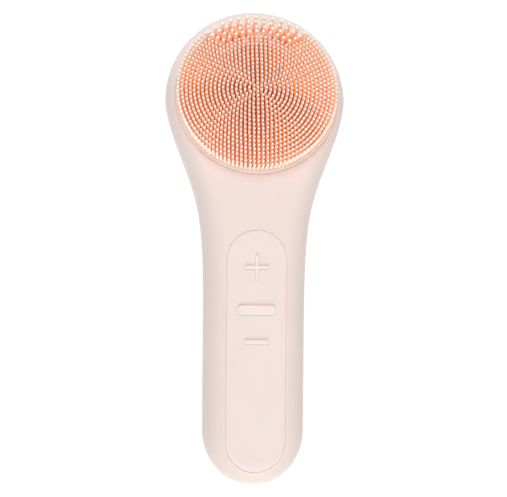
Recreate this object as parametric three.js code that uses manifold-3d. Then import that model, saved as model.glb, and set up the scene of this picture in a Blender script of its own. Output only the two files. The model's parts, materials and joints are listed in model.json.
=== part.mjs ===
// Handheld facial cleansing brush: a round, backward-tilted brush head on a flat-backed handle,
// with a soft three-key panel, a sealed two-part housing, a rechargeable cell, a control board
// and a vibration motor with an eccentric weight.
//
// Millimetres. The brush lies on its flat back: +Z is the side with the bristles and the keys,
// +Y runs from the handle end to the top of the head, +X is to the right seen from the front.
// Inside the `brush` group Y is counted from the handle end; the group moves the origin to the
// middle of the length, on the plane the back rests on.
import * as THREE from "three";
import { mergeVertices } from "three/addons/utils/BufferGeometryUtils.js";
import Module from "manifold-3d";

const wasm = await Module();
wasm.setup();
const { Manifold, Mesh: SolidMesh } = wasm;

// ---- driving dimensions --------------------------------------------------------------------
const LENGTH = 165;            // handle end to top of head
const HANDLE_HALF = 17.55;     // half width of the handle
const END_SEMI = 19;           // length of the rounded handle end
const HEAD_R = 31.17;          // radius of the head's outline
const HEAD_Y = LENGTH - HEAD_R;
const FRONT_Z = 27.5;          // handle front face above the back
const SEAM_Y = 107.9, SEAM_Z = 27.9; // lowest point of the pad's edge
const TILT = THREE.MathUtils.degToRad(17); // head face leans back by this much
const SLOPE = Math.tan(TILT);
const WALL = 2.0;              // housing wall
const GAP = 0.3;               // assembly clearance
const PAD_R = 27.85;           // brush pad radius
const BRISTLE_R = 26.8;        // radius of the bristle field at its root
const BRISTLE_H = 5.5, PAD_CROWN = 2.35, PAD_EDGE = 1.0, PAD_BASE = 2.0;
const PANEL_HALF = 10.0, PANEL_Y0 = 6.15, PANEL_Y1 = 88.35; // key panel: a stadium
const PANEL_BOTTOM = 25.0, PANEL_SKIRT = 23.6, PANEL_RIM = 2.0;
const FLOOR_TOP = 23.3, FLOOR_BOTTOM = 21.8; // pocket floor under the panel
const KEY_TOP = 28.0, KEY_FLANGE_TOP = 24.8, KEY_FLANGE_BOTTOM = 24.0;
const KEY_TRAVEL = 0.5;
const PLUS_Y = 75.9, POWER_Y = 61.35, MINUS_Y = 50.5;
const PLUS_W = 8.6, PLUS_STROKE = 1.4, POWER_W = 13.6, POWER_H = 3.55, MINUS_W = 8.6, MINUS_H = 1.65;
const BOARD_Z = 15.0, BOARD_T = 1.6;
const CELL_R = 5.2, CELL_Z = 7.8, CELL_Y0 = 24, CELL_Y1 = 68;
const MOTOR_R = 6.0, MOTOR_Z = 9.6, MOTOR_Y0 = 99, MOTOR_Y1 = 117;

// ---- housing surface -----------------------------------------------------------------------
// Half width along the handle and neck, a natural cubic through these stations.
const WIDTHS = [[19, 17.55], [45, 17.57], [68, 17.63], [79, 17.93], [87.6, 18.55], [93.2, 19.3], [98.8, 20.55],
  [104.4, 22.2], [110, 24.25], [115.6, 26.4], [121.2, 28.45], [126.8, 30.12], [131, 30.96], [HEAD_Y, HEAD_R]];
function cubicThrough(knots) {
  const n = knots.length - 1, x = knots.map((k) => k[0]), y = knots.map((k) => k[1]);
  const a = [], b = [], c = [], d = [];
  for (let i = 0; i <= n; i++) {
    if (i === 0 || i === n) { a.push(0); b.push(2); c.push(0); const h = i === 0 ? x[1] - x[0] : x[n] - x[n - 1];
      const s = i === 0 ? (y[1] - y[0]) / h : -(y[n] - y[n - 1]) / h; d.push((6 / h) * s); if (i === 0) c[0] = 1; else a[n] = 1; }
    else { const h0 = x[i] - x[i - 1], h1 = x[i + 1] - x[i]; a.push(h0 / (h0 + h1)); b.push(2); c.push(h1 / (h0 + h1));
      d.push((6 * ((y[i + 1] - y[i]) / h1 - (y[i] - y[i - 1]) / h0)) / (h0 + h1)); }
  }
  const cp = [c[0] / b[0]], dp = [d[0] / b[0]];
  for (let i = 1; i <= n; i++) { const m = b[i] - a[i] * cp[i - 1]; cp[i] = c[i] / m; dp[i] = (d[i] - a[i] * dp[i - 1]) / m; }
  const M = new Array(n + 1); M[n] = dp[n];
  for (let i = n - 1; i >= 0; i--) M[i] = dp[i] - cp[i] * M[i + 1];
  return (t) => {
    let i = 0; while (i < n - 1 && t > x[i + 1]) i++;
    const h = x[i + 1] - x[i], A = (x[i + 1] - t) / h, B = (t - x[i]) / h;
    return A * y[i] + B * y[i + 1] + (((A ** 3 - A) * M[i] + (B ** 3 - B) * M[i + 1]) * h * h) / 6;
  };
}
const neckHalf = cubicThrough(WIDTHS);
const smooth = (t) => { t = Math.min(1, Math.max(0, t)); return t * t * (3 - 2 * t); };
const midZ = (y) => 13 - 8 * Math.pow(Math.max(0, (y - 84) / (LENGTH - 84)), 1.25); // height of the widest line
function faceZ(y) { // front face along the middle: level handle, short rise, tilted head
  const level = FRONT_Z + (SEAM_Z - FRONT_Z) * smooth((y - 88) / 16), tilted = SEAM_Z - (y - SEAM_Y) * SLOPE;
  const k = 1.1, h = Math.min(1, Math.max(0, 0.5 + (0.5 * (tilted - level)) / k)); // smooth minimum
  return tilted + (level - tilted) * h - k * h * (1 - h);
}
const roundW = (y) => 8.5 - 2.5 * smooth((y - 85) / 40); // width of the rounded shoulder
const roundP = (y) => 2.15 + 0.45 * smooth((y - 85) / 40);
const slopeAt = (y) => (neckHalf(y + 0.05) - neckHalf(y - 0.05)) / 0.1;
function inside(x, y) { // distance in from the outline
  if (y < END_SEMI) return (1 - Math.hypot(x / HANDLE_HALF, (END_SEMI - y) / END_SEMI)) * HANDLE_HALF;
  if (y > HEAD_Y) return HEAD_R - Math.hypot(x, y - HEAD_Y);
  return (neckHalf(y) - Math.abs(x)) / Math.hypot(1, slopeAt(Math.min(Math.max(y, 19.1), HEAD_Y - 0.1)));
}
function halfWidth(y, inset) {
  if (y < END_SEMI) return HANDLE_HALF * Math.sqrt(Math.max(0, (1 - inset / HANDLE_HALF) ** 2 - ((END_SEMI - y) / END_SEMI) ** 2));
  if (y > HEAD_Y) return Math.sqrt(Math.max(0, (HEAD_R - inset) ** 2 - (y - HEAD_Y) ** 2));
  return neckHalf(y) - inset * Math.hypot(1, slopeAt(Math.min(Math.max(y, 19.1), HEAD_Y - 0.1)));
}
function surfaceZ(x, y, inset, front) {
  const d = Math.max(0, inside(x, y) - inset), zm = midZ(y);
  const D = front ? roundW(y) : 9, p = front ? roundP(y) : 2.2;
  const s = Math.min(1, Math.max(0, 1 - d / D)), k = Math.pow(Math.max(0, 1 - Math.pow(s, p)), 1 / p);
  return front ? zm + (faceZ(y) - zm - inset) * k : zm - (zm - inset) * k;
}
function housingGeometry(inset, rows, around) {
  const ys = [], end = 1 - inset / HANDLE_HALF, R = HEAD_R - inset;
  for (const f of rows.end) ys.push(END_SEMI - END_SEMI * end * Math.cos(f));
  ys.push(...rows.middle);
  for (const f of rows.head) ys.push(HEAD_Y + R * Math.sin(f));
  const v = [0, END_SEMI * (1 - end), midZ(0)], idx = [];
  for (const y of ys) {
    const w = halfWidth(y, inset);
    for (let j = 0; j < around; j++) {
      const t = (2 * Math.PI * j) / around, x = w * Math.cos(t), top = Math.sin(t) > 1e-9, edge = Math.abs(Math.sin(t)) < 1e-9;
      v.push(x, y, edge ? midZ(y) : surfaceZ(x, y, inset, top));
    }
  }
  v.push(0, HEAD_Y + R, midZ(HEAD_Y + R));
  const last = v.length / 3 - 1, at = (i, j) => 1 + i * around + (j % around);
  for (let j = 0; j < around; j++) {
    idx.push(0, at(0, j), at(0, j + 1));
    for (let i = 0; i < ys.length - 1; i++) idx.push(at(i, j), at(i + 1, j), at(i + 1, j + 1), at(i, j), at(i + 1, j + 1), at(i, j + 1));
    idx.push(at(ys.length - 1, j), last, at(ys.length - 1, j + 1));
  }
  return new THREE.BufferGeometry().setAttribute("position", new THREE.Float32BufferAttribute(v, 3)).setIndex(idx);
}

// ---- solids --------------------------------------------------------------------------------
function solid(geometry, matrix) {
  let g = geometry.index ? geometry.toNonIndexed() : geometry.clone();
  for (const name of Object.keys(g.attributes)) if (name !== "position") g.deleteAttribute(name);
  if (matrix) g.applyMatrix4(matrix);
  g = mergeVertices(g, 1e-4);
  let s = new Manifold(new SolidMesh({ numProp: 3, vertProperties: new Float32Array(g.attributes.position.array), triVerts: new Uint32Array(g.index.array) }));
  if (s.volume() < 0) throw new Error("a shape is inside out");
  return s;
}
function geometryOf(s) {
  const m = s.getMesh(), n = m.numProp, v = new Float32Array(m.numVert * 3);
  for (let i = 0; i < m.numVert; i++) v.set(m.vertProperties.subarray(i * n, i * n + 3), i * 3);
  const g = new THREE.BufferGeometry().setAttribute("position", new THREE.BufferAttribute(v, 3)).setIndex(new THREE.BufferAttribute(new Uint32Array(m.triVerts), 1));
  g.computeVertexNormals();
  return g;
}
const place = (x, y, z, rx = 0, ry = 0, rz = 0) => new THREE.Matrix4().makeRotationFromEuler(new THREE.Euler(rx, ry, rz)).setPosition(x, y, z);
const box = (x0, x1, y0, y1, z0, z1) => solid(new THREE.BoxGeometry(x1 - x0, y1 - y0, z1 - z0), place((x0 + x1) / 2, (y0 + y1) / 2, (z0 + z1) / 2));
const post = (x, y, z0, z1, r, n = 14) => solid(new THREE.CylinderGeometry(r, r, z1 - z0, n), place(x, y, (z0 + z1) / 2, Math.PI / 2));
const bar = (x, z, y0, y1, r, n = 20) => solid(new THREE.CylinderGeometry(r, r, y1 - y0, n), place(x, (y0 + y1) / 2, z));
function stadiumShape(half, y0, y1, n = 9) { // long axis on Y, round ends
  const s = new THREE.Shape(), a = y1 - half, b = y0 + half, pts = [];
  for (let i = 0; i <= n; i++) { const t = (Math.PI * i) / n; pts.push(new THREE.Vector2(half * Math.cos(t), a + half * Math.sin(t))); }
  for (let i = 0; i <= n; i++) { const t = Math.PI + (Math.PI * i) / n; pts.push(new THREE.Vector2(half * Math.cos(t), b + half * Math.sin(t))); }
  s.setFromPoints(pts); return s;
}
const prism = (shape, z0, z1) => solid(new THREE.ExtrudeGeometry(shape, { depth: z1 - z0, bevelEnabled: false, curveSegments: 8 }), place(0, 0, z0));
function plusShape(w, t, cy) {
  const a = w / 2, b = t / 2, s = new THREE.Shape();
  s.setFromPoints([[-b, -a], [b, -a], [b, -b], [a, -b], [a, b], [b, b], [b, a], [-b, a], [-b, b], [-a, b], [-a, -b], [-b, -b]].map(([x, y]) => new THREE.Vector2(x, y + cy)));
  return s;
}
function pillShape(w, h, cy, n = 6) {
  const r = h / 2, a = w / 2 - r, pts = [];
  for (let i = 0; i <= n; i++) { const t = -Math.PI / 2 + (Math.PI * i) / n; pts.push(new THREE.Vector2(a + r * Math.cos(t), cy + r * Math.sin(t))); }
  for (let i = 0; i <= n; i++) { const t = Math.PI / 2 + (Math.PI * i) / n; pts.push(new THREE.Vector2(-a + r * Math.cos(t), cy + r * Math.sin(t))); }
  const s = new THREE.Shape(); s.setFromPoints(pts); return s;
}
const rectShape = (w, h, cy) => { const s = new THREE.Shape(); s.setFromPoints([[-w / 2, cy - h / 2], [w / 2, cy - h / 2], [w / 2, cy + h / 2], [-w / 2, cy + h / 2]].map(([x, y]) => new THREE.Vector2(x, y))); return s; };

// ---- the two covers ------------------------------------------------------------------------
const rad = THREE.MathUtils.degToRad;
const outerRows = { end: [14, 27, 40, 54, 70].map(rad), middle: [19, 44, 68, 80, 88, 95, 101, 107, 112, 118, 125], head: [0, 11, 22, 33, 44, 55, 66, 76, 84].map(rad) };
const innerRows = { end: [25, 50, 72].map(rad), middle: [19, 70, 88, 99, 109, 120], head: [0, 20, 40, 58, 76].map(rad) };
const outer = solid(housingGeometry(0, outerRows, 28));
const inner = solid(housingGeometry(WALL, innerRows, 20));
function partingSolid(offset, up) { // everything above (or below) the parting line
  const pts = [], far = up ? 60 : -30;
  for (const y of [-10, 84, 96, 108, 120, 132, 144, 156, 175]) pts.push(new THREE.Vector2(y, midZ(Math.min(y, LENGTH)) + offset));
  pts.push(new THREE.Vector2(175, far), new THREE.Vector2(-10, far));
  const s = new THREE.Shape(); s.setFromPoints(pts);
  // shape x is Y and shape y is Z, extruded along X
  const m = new THREE.Matrix4().makeBasis(new THREE.Vector3(0, 1, 0), new THREE.Vector3(0, 0, 1), new THREE.Vector3(1, 0, 0)).setPosition(-40, 0, 0);
  return solid(new THREE.ExtrudeGeometry(s, { depth: 80, bevelEnabled: false }), m);
}
const padCentreY = SEAM_Y + (PAD_R + GAP / 2) * Math.cos(TILT), padCentreZ = SEAM_Z - (PAD_R + GAP / 2) * Math.sin(TILT);
const padFrame = place(0, padCentreY, padCentreZ, -TILT);
const padDisc = (r, z0, z1, n = 48) => solid(new THREE.CylinderGeometry(r, r, z1 - z0, n), padFrame.clone().multiply(place(0, 0, (z0 + z1) / 2, Math.PI / 2)));

const keyHoles = [[0, PLUS_Y], [0, POWER_Y], [0, MINUS_Y]];
const housingScrews = [[-6.4, 21.5], [6.4, 21.5], [0, 84.2]];
const carrierScrews = [[-9.4, 34], [9.4, 34], [-9.4, 72], [9.4, 72]];
const bracketScrews = [[-12.0, 108], [12.0, 108]];

let shell = outer.subtract(inner);
let front = shell.intersect(partingSolid(0.12, true));
front = front.add(padDisc(PAD_R + GAP + 1.3, -5.2, 3, 40).intersect(outer).intersect(partingSolid(0.12, true)));
front = front.subtract(padDisc(PAD_R + GAP, -3.8, 12, 48));
front = front.add(prism(stadiumShape(PANEL_HALF + GAP + 1.6, PANEL_Y0 - GAP - 1.6, PANEL_Y1 + GAP + 1.6), FLOOR_BOTTOM, 40).intersect(outer));
front = front.subtract(prism(stadiumShape(PANEL_HALF + GAP, PANEL_Y0 - GAP, PANEL_Y1 + GAP), FLOOR_TOP, 40));
for (const [x, y] of keyHoles) front = front.subtract(post(x, y, 15, 30, 1.9, 12));
for (const [x, y] of housingScrews) front = front.subtract(post(x, y, 15, 30, 1.25, 10));

let rear = shell.intersect(partingSolid(-0.12, false));
const boss = (x, y, top, r, hole, deep) => { rear = rear.add(post(x, y, 1.0, top, r, 12)).subtract(post(x, y, deep, top + 1, hole, 10)); };
for (const [x, y] of carrierScrews) boss(x, y, 13.0, 2.4, 1.2, 5);
for (const [x, y] of bracketScrews) boss(x, y, 5.0, 2.4, 1.2, 2.4);
for (const x of [-4, 4]) rear = rear.subtract(post(x, 14.5, -1, 6, 1.9, 14));

// ---- materials -----------------------------------------------------------------------------
const look = (color, roughness, metalness = 0) => new THREE.MeshStandardMaterial({ color, roughness, metalness });
const silicone = look(0xf1ddd8, 0.55), keySilicone = look(0xf8e6dd, 0.5), bristle = look(0xf3c3a2, 0.5), darkRubber = look(0x6f6a68, 0.8);
const abs = look(0xe9e6e2, 0.6), board = look(0x2f6b46, 0.5), steel = look(0xb9bcc0, 0.35, 1), brass = look(0xd8b25a, 0.3, 1);
const cellWrap = look(0x3f78b5, 0.45), black = look(0x1d1d1f, 0.5), lamp = look(0xf7f4ec, 0.3), red = look(0xb3322c, 0.5), foam = look(0x54565a, 0.95);

const root = new THREE.Group();
const brush = new THREE.Group();
brush.position.y = -LENGTH / 2;
root.add(brush);
function part(name, geometry, material, parent = brush, position = null) {
  const m = new THREE.Mesh(geometry, material);
  m.name = name;
  if (position) m.position.set(...position);
  parent.add(m);
  return m;
}

part("front_cover", geometryOf(front), silicone);
part("rear_cover", geometryOf(rear), silicone);

// ---- housing seal: a band inside the wall, across the parting line --------------------------
function bandGeometry(insetOut, insetIn, below, above) { // below and above the parting line, by Y
  const ring = (inset) => {
    const pts = [], R = HEAD_R - inset, e = 1 - inset / HANDLE_HALF;
    for (const a of [-90, -60, -30].map(rad)) pts.push([HANDLE_HALF * e * Math.cos(a), END_SEMI + END_SEMI * e * Math.sin(a)]);
    for (const y of [19, 70, 86, 96, 106, 116, 125]) pts.push([halfWidth(y, inset), y]);
    for (const a of [0, 18, 36, 54, 72, 90].map(rad)) pts.push([R * Math.cos(a), HEAD_Y + R * Math.sin(a)]);
    const left = pts.slice(1, -1).reverse().map(([x, y]) => [-x, y]);
    return pts.concat(left);
  };
  const a = ring(insetOut), b = ring(insetIn), N = a.length, v = [], idx = [];
  for (let i = 0; i < N; i++) for (const [p, dz] of [[a[i], -below(a[i][1])], [a[i], above(a[i][1])], [b[i], above(b[i][1])], [b[i], -below(b[i][1])]]) v.push(p[0], p[1], midZ(p[1]) + dz);
  for (let i = 0; i < N; i++) for (let k = 0; k < 4; k++) {
    const j = (i + 1) % N, p = i * 4 + k, q = i * 4 + ((k + 1) % 4), r = j * 4 + ((k + 1) % 4), s = j * 4 + k;
    idx.push(p, s, r, p, r, q);
  }
  return new THREE.BufferGeometry().setAttribute("position", new THREE.Float32BufferAttribute(v, 3)).setIndex(idx);
}
const sealBand = bandGeometry(WALL + 0.8, WALL + 1.5, (y) => 1.0 - 0.35 * smooth((y - 110) / 50), (y) => 1.0 - 0.7 * smooth((y - 110) / 50));
part("housing_seal", geometryOf(solid(sealBand)), darkRubber);

// ---- head: pad, its seal and its backing plate ----------------------------------------------
const head = new THREE.Group();
head.position.set(0, padCentreY, padCentreZ);
head.rotation.x = -TILT;
brush.add(head);
const lathe = (pts, n) => { const g = new THREE.LatheGeometry(pts.map(([r, z]) => new THREE.Vector2(r, z)), n); g.rotateX(Math.PI / 2); return g; };
const crown = (r) => PAD_EDGE + BRISTLE_H + PAD_CROWN * (1 - (r / BRISTLE_R) ** 2);
part("brush_pad", lathe([[0, -PAD_BASE], [PAD_R - 0.6, -PAD_BASE], [PAD_R, -PAD_BASE + 0.6], [PAD_R, 0.1], [PAD_R - 0.5, PAD_EDGE - 0.1], [BRISTLE_R, PAD_EDGE],
  [BRISTLE_R + 1.0, crown(BRISTLE_R) - 0.5], [BRISTLE_R + 0.6, crown(BRISTLE_R)], [21, crown(21)], [14, crown(14)], [7, crown(7)], [0, crown(0)]], 40), bristle, head);
part("pad_backing_plate", lathe([[0, -3.5], [24.2, -3.5], [24.2, -2.3], [0, -2.3]], 32), abs, head);
part("pad_seal_ring", lathe([[25.0, -3.5], [26.8, -3.5], [26.8, -2.3], [25.0, -2.3], [25.0, -3.5]], 36), darkRubber, head);

// ---- key panel and keys ---------------------------------------------------------------------
let panel = prism(stadiumShape(PANEL_HALF, PANEL_Y0, PANEL_Y1), PANEL_SKIRT, 40).intersect(outer);
panel = panel.subtract(prism(stadiumShape(PANEL_HALF - PANEL_RIM, PANEL_Y0 + PANEL_RIM, PANEL_Y1 - PANEL_RIM), 20, PANEL_BOTTOM));
panel = panel.subtract(prism(plusShape(PLUS_W + 2 * GAP, PLUS_STROKE + 2 * GAP, PLUS_Y), 20, 40));
panel = panel.subtract(prism(pillShape(POWER_W + 2 * GAP, POWER_H + 2 * GAP, POWER_Y), 20, 40));
panel = panel.subtract(prism(rectShape(MINUS_W + 2 * GAP, MINUS_H + 2 * GAP, MINUS_Y), 20, 40));
part("keypad_panel", geometryOf(panel), silicone);
const key = (shape, flangeW, flangeH, y) => geometryOf(prism(shape, KEY_FLANGE_BOTTOM, KEY_TOP)
  .add(box(-flangeW / 2, flangeW / 2, y - flangeH / 2, y + flangeH / 2, KEY_FLANGE_BOTTOM, KEY_FLANGE_TOP))
  .add(post(0, y, 21.2, KEY_FLANGE_BOTTOM + 0.2, 1.5, 12)));
part("plus_key", key(plusShape(PLUS_W, PLUS_STROKE, PLUS_Y), 10.4, 10.4, PLUS_Y), keySilicone);
part("power_key", key(pillShape(POWER_W, POWER_H, POWER_Y), 15.4, 5.4, POWER_Y), keySilicone);
part("minus_key", key(rectShape(MINUS_W, MINUS_H, MINUS_Y), 10.2, 3.8, MINUS_Y), keySilicone);

// ---- switches, board and its carrier --------------------------------------------------------
const boardTop = BOARD_Z + BOARD_T;
for (const [name, y] of [["plus", PLUS_Y], ["power", POWER_Y], ["minus", MINUS_Y]]) {
  part(`${name}_switch`, geometryOf(box(-3, 3, y - 3, y + 3, boardTop + GAP, boardTop + GAP + 3).subtract(post(0, y, 18.5, 30, 1.85, 12))), black);
  part(`${name}_switch_plunger`, new THREE.CylinderGeometry(1.5, 1.5, 1.75, 12).rotateX(Math.PI / 2), abs, brush, [0, y, 20.025]);
}
let pcb = box(-11.4, 11.4, 29, 78.4, BOARD_Z, boardTop);
for (const [x, y] of carrierScrews) pcb = pcb.subtract(post(x, y, 10, 20, 1.3, 10));
part("main_board", geometryOf(pcb), board);
part("control_chip", new THREE.BoxGeometry(5, 5, 1), black, brush, [-6.4, 44, boardTop + GAP + 0.5]);
part("charge_chip", new THREE.BoxGeometry(3, 3, 0.9), black, brush, [6.6, 40, boardTop + GAP + 0.45]);
part("status_led", new THREE.BoxGeometry(2.4, 1.6, 1.1), lamp, brush, [5.6, POWER_Y, boardTop + GAP + 0.55]);
let carrier = box(-11.4, 11.4, 20, 90, 13.3, 14.7);
for (const s of [-1, 1]) carrier = carrier.add(box(s > 0 ? 5.6 : -6.7, s > 0 ? 6.7 : -5.6, 24, 68, 4.4, 14));
for (const [x, y] of carrierScrews) carrier = carrier.subtract(post(x, y, 10, 20, 1.3, 10));
for (const [x, y] of housingScrews) carrier = carrier.add(post(x, y, 14, 21.4, 2.3, 12)).subtract(post(x, y, 16.5, 25, 1.15, 10));
part("board_carrier", geometryOf(carrier), abs);

// ---- power cell and its cushion -------------------------------------------------------------
let cell = bar(0, CELL_Z, CELL_Y0 + 1, CELL_Y1 - 1, CELL_R, 24).add(bar(0, CELL_Z, CELL_Y1 - 1.1, CELL_Y1, 2.2, 12)).add(bar(0, CELL_Z, CELL_Y0, CELL_Y0 + 1.1, 4.4, 16));
part("battery_cell", geometryOf(cell), cellWrap);
part("battery_cushion", new THREE.BoxGeometry(7, 36, 0.45), foam, brush, [0, 46, 2.28]);

// ---- vibration motor ------------------------------------------------------------------------
const motor = new THREE.Group();
motor.position.set(0, 0, MOTOR_Z);
brush.add(motor);
const alongY = (r, y0, y1, n) => new THREE.CylinderGeometry(r, r, y1 - y0, n).translate(0, (y0 + y1) / 2, 0);
const can = solid(alongY(MOTOR_R, MOTOR_Y0, MOTOR_Y1, 24)).subtract(solid(alongY(1.6, MOTOR_Y1 - 12, MOTOR_Y1 + 1, 14)));
part("motor_can", geometryOf(can), steel, motor);
part("motor_bush", geometryOf(solid(alongY(1.35, MOTOR_Y1 - 2.6, MOTOR_Y1 + 0.4, 14)).subtract(solid(alongY(0.9, MOTOR_Y1 - 4, MOTOR_Y1 + 2, 12)))), brass, motor);
part("motor_shaft", alongY(0.75, MOTOR_Y1 - 11, MOTOR_Y1 + 9.6, 12), steel, motor);
const wedge = solid(alongY(5.4, MOTOR_Y1 + 2, MOTOR_Y1 + 8.4, 24)).subtract(solid(new THREE.BoxGeometry(12, 12, 6), place(0, MOTOR_Y1 + 5, 3 + 1.9)))
  .subtract(solid(new THREE.BoxGeometry(4, 12, 6), place(-4 - 0.5, MOTOR_Y1 + 5, 3 - 0.4))).subtract(solid(new THREE.BoxGeometry(4, 12, 6), place(4 + 0.5, MOTOR_Y1 + 5, 3 - 0.4)))
  .subtract(solid(alongY(1.05, MOTOR_Y1, MOTOR_Y1 + 11, 12)));
part("eccentric_weight", geometryOf(wedge), brass, motor);
let bracket = box(-8.4, 8.4, 103, 113, 5.3, 16.8).add(box(-14.2, 14.2, 104.6, 111.4, 5.3, 7.2)).subtract(bar(0, MOTOR_Z, 100, 116, MOTOR_R + GAP, 24));
for (const [x, y] of bracketScrews) bracket = bracket.subtract(post(x, y, 0, 12, 1.3, 10));
part("motor_bracket", geometryOf(bracket), abs);

// ---- screws: pan head, plain shank ----------------------------------------------------------
const screwGeometry = (len) => lathe([[0, -len], [0.55, -len], [0.9, -len + 0.8], [0.9, 0], [1.9, 0], [1.75, 0.9], [1.2, 1.3], [0, 1.3]], 12);
carrierScrews.forEach(([x, y], i) => part(`carrier_screw_${i + 1}`, screwGeometry(10.4), steel, brush, [x, y, boardTop + 0.2]));
housingScrews.forEach(([x, y], i) => part(`housing_screw_${i + 1}`, screwGeometry(6.0), steel, brush, [x, y, FLOOR_TOP + 0.02]).scale.set(0.85, 0.85, 0.85));
bracketScrews.forEach(([x, y], i) => part(`bracket_screw_${i + 1}`, screwGeometry(4.6), steel, brush, [x, y, 7.4]));

// ---- charging contacts ----------------------------------------------------------------------
for (const [name, x] of [["left", -4], ["right", 4]])
  part(`charge_contact_${name}`, lathe([[0, 0.15], [1.3, 0.15], [1.5, 0.35], [1.5, 3.2], [0, 3.2]], 16), brass, brush, [x, 14.5, 0]);
part("contact_board", new THREE.BoxGeometry(13, 5.6, 1), board, brush, [0, 14.5, 4.0]);

// ---- leads ----------------------------------------------------------------------------------
function lead(name, pts, material, r = 0.45) {
  const curve = new THREE.CatmullRomCurve3(pts.map((p) => new THREE.Vector3(...p)), false, "centripetal"), s = new THREE.Shape();
  s.setFromPoints([...Array(6)].map((_, i) => new THREE.Vector2(r * Math.cos((i * Math.PI) / 3), r * Math.sin((i * Math.PI) / 3))));
  part(name, geometryOf(solid(new THREE.ExtrudeGeometry(s, { steps: 14, bevelEnabled: false, extrudePath: curve }))), material);
}
lead("motor_lead_red", [[2.2, 98.4, 10.5], [2.6, 95, 11.5], [4.2, 92.4, 14], [4.6, 90.8, 17.4], [5, 86, 18.6], [5.6, 78, 18.0], [6, 75, 17.5]], red);
lead("motor_lead_black", [[-2.2, 98.4, 10.5], [-2.6, 95, 11.5], [-4.2, 92.4, 14], [-4.6, 90.8, 17.4], [-5, 86, 18.6], [-5.6, 78, 18.0], [-6, 75, 17.5]], black);
lead("battery_lead_red", [[0.9, 69, 9.4], [2.5, 71, 9.8], [8.6, 74.8, 10.4], [12.8, 75.6, 13], [12.9, 74, 16.5], [11.5, 68, 18], [9.5, 66, 17.5]], red);
lead("battery_lead_black", [[-1.5, 23, 9.6], [-5, 21, 10], [-11.0, 21.8, 10.6], [-12.9, 25, 13], [-12.9, 29, 16.6], [-11.0, 38.6, 18.0], [-10.6, 41, 17.5]], black);
lead("charge_lead", [[3.6, 14.5, 5.1], [5.2, 15.2, 6.4], [8.4, 17.4, 9], [12.2, 21, 12.6], [12.9, 27, 16.4], [11.4, 37.6, 18.2], [9.8, 41, 17.5]], red);

export default root;
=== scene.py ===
"""Looks for a handheld facial cleansing brush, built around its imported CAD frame.

Lengths inside the helpers are millimetres in the brush's own frame, with Y counted from the
handle end; build() turns them into metres in the row frame.
"""
import json
import math

import bpy
import numpy as np
from mathutils import Matrix, Vector
from mathutils.geometry import delaunay_2d_cdt


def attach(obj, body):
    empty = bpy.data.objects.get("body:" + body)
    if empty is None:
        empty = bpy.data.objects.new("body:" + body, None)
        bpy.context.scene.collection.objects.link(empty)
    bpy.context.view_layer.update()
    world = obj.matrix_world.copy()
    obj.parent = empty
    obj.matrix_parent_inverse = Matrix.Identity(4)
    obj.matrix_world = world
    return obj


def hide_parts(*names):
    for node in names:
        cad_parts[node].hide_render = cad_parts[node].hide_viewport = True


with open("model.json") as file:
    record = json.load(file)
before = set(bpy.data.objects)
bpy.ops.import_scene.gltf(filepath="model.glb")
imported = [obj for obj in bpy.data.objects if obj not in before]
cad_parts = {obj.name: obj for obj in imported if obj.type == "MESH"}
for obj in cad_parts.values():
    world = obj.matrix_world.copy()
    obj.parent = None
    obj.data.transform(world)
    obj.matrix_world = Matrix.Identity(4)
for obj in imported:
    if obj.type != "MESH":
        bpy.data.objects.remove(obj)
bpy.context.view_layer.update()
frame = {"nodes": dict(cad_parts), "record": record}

nodes = frame["nodes"]

# ------------------------------------------------------------------------------------------
# dimensions, as in the CAD model
# ------------------------------------------------------------------------------------------
LENGTH, HANDLE_HALF, END_SEMI, HEAD_R = 165.0, 17.55, 19.0, 31.17
HEAD_Y = LENGTH - HEAD_R
FRONT_Z, SEAM_Y, SEAM_Z, TILT = 27.5, 107.9, 27.9, math.radians(17)
SLOPE = math.tan(TILT)
PAD_R, GAP = 27.85, 0.3
PANEL_HALF, PANEL_Y0, PANEL_Y1 = 10.0, 6.15, 88.35
FLOOR_TOP = 23.3
PLUS_Y, POWER_Y, MINUS_Y = 75.9, 61.35, 50.5
PLUS_W, PLUS_STROKE, POWER_W, POWER_H, MINUS_W, MINUS_H = 8.6, 1.4, 13.6, 3.55, 8.6, 1.65
KEY_TOP = 28.0
PAD_CY = SEAM_Y + (PAD_R + GAP / 2) * math.cos(TILT)
PAD_CZ = SEAM_Z - (PAD_R + GAP / 2) * math.sin(TILT)
PAD_EDGE, DOME_SAG, FIELD_R, BRISTLE_L = 1.0, 2.33, 26.5, 5.5
DOME_R = FIELD_R ** 2 / (2 * DOME_SAG) + DOME_SAG / 2
BODY = "housing"

WIDTHS = [(19, 17.55), (45, 17.57), (68, 17.63), (79, 17.93), (87.6, 18.55), (93.2, 19.3), (98.8, 20.55), (104.4, 22.2),
          (110, 24.25), (115.6, 26.4), (121.2, 28.45), (126.8, 30.12), (131, 30.96), (HEAD_Y, HEAD_R)]


def natural_cubic(knots):
    x, y = np.array(knots, float).T
    n = len(x) - 1
    A, r = np.zeros((n + 1, n + 1)), np.zeros(n + 1)
    h = np.diff(x)
    A[0, 0], A[n, n] = 2, 2
    r[0] = 6 / h[0] * (y[1] - y[0]) / h[0]
    r[n] = -6 / h[-1] * (y[n] - y[n - 1]) / h[-1]
    for i in range(1, n):
        A[i, i - 1], A[i, i], A[i, i + 1] = h[i - 1] / (h[i - 1] + h[i]), 2, h[i] / (h[i - 1] + h[i])
        r[i] = 6 * ((y[i + 1] - y[i]) / h[i] - (y[i] - y[i - 1]) / h[i - 1]) / (h[i - 1] + h[i])
    M = np.linalg.solve(A, r)

    def f(t):
        t = np.asarray(t, float)
        i = np.clip(np.searchsorted(x, t, side="left") - 1, 0, n - 1)
        hh = x[i + 1] - x[i]
        a, b = (x[i + 1] - t) / hh, (t - x[i]) / hh
        return a * y[i] + b * y[i + 1] + ((a ** 3 - a) * M[i] + (b ** 3 - b) * M[i + 1]) * hh * hh / 6
    return f


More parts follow.
